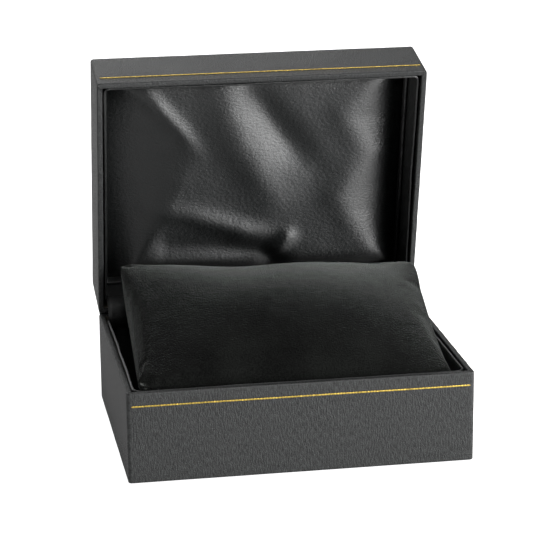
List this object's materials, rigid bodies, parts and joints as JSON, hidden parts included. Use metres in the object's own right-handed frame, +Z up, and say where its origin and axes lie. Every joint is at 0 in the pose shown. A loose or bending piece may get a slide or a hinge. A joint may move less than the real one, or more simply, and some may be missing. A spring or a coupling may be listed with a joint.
{
  "type": "jewellery gift box",
  "caption": "Hinged gift box in wrapped leatherette with a gold line, a puffed satin lid lining and a loose velvet pillow, shown open.",
  "frame": {"origin": "centre of the tray's footprint on the surface that the box stands on", "axes": "+Z up, +Y from the front face towards the hinge, +X to the right seen from the front"},
  "size_m": [0.102, 0.0985, 0.1094],
  "materials": {
    "leatherette": "fine straight-grain embossed leatherette",
    "moulded_board": "dense grey-brown board",
    "gold_foil": "hot-stamped gold foil",
    "foot_paper": "black embossed paper",
    "lining_satin": "black satin weave",
    "velvet": "short-pile black velvet",
    "wadding": "polyester wadding",
    "hinge_steel": "pressed zinc-plated steel"
  },
  "bodies": {
    "tray": {"tray_shell": "moulded_board", "tray_wrap": "leatherette", "tray_gold_line": "gold_foil", "tray_foot_sheet": "foot_paper", "tray_liner": "lining_satin", "tray_floor_card": "velvet", "hinge_tray_leaf": "hinge_steel", "hinge_pin": "hinge_steel", "hinge_satin": "lining_satin", "hinge_spine": "leatherette", "hinge_spring_left": "hinge_steel", "hinge_spring_right": "hinge_steel", "hinge_tray_rivet_1": "hinge_steel", "hinge_tray_rivet_2": "hinge_steel", "hinge_tray_rivet_3": "hinge_steel"},
    "lid": {"lid_shell": "moulded_board", "lid_wrap": "leatherette", "lid_gold_line": "gold_foil", "lid_liner": "lining_satin", "lid_pad_card": "moulded_board", "lid_pad_wadding": "wadding", "lid_satin": "lining_satin", "hinge_lid_leaf": "hinge_steel", "hinge_lid_rivet_1": "hinge_steel", "hinge_lid_rivet_2": "hinge_steel", "hinge_lid_rivet_3": "hinge_steel"},
    "pillow": {"pillow_cover": "velvet", "pillow_filling": "wadding"}
  },
  "joints": [
    {"name": "lid_hinge", "type": "hinge", "parent": "tray", "child": "lid", "pos_m": [0, 0.0395, 0.02795], "axis": [1, 0, 0], "range_deg": [0, 77.5], "deforming": ["hinge_satin", "hinge_spine", "hinge_spring_left", "hinge_spring_right", "pillow_cover", "pillow_filling"]},
    {"name": "pillow_lift", "type": "slide", "parent": "tray", "child": "pillow", "axis": [0, 0, 1], "range_m": [0, 0.045]}
  ]
}
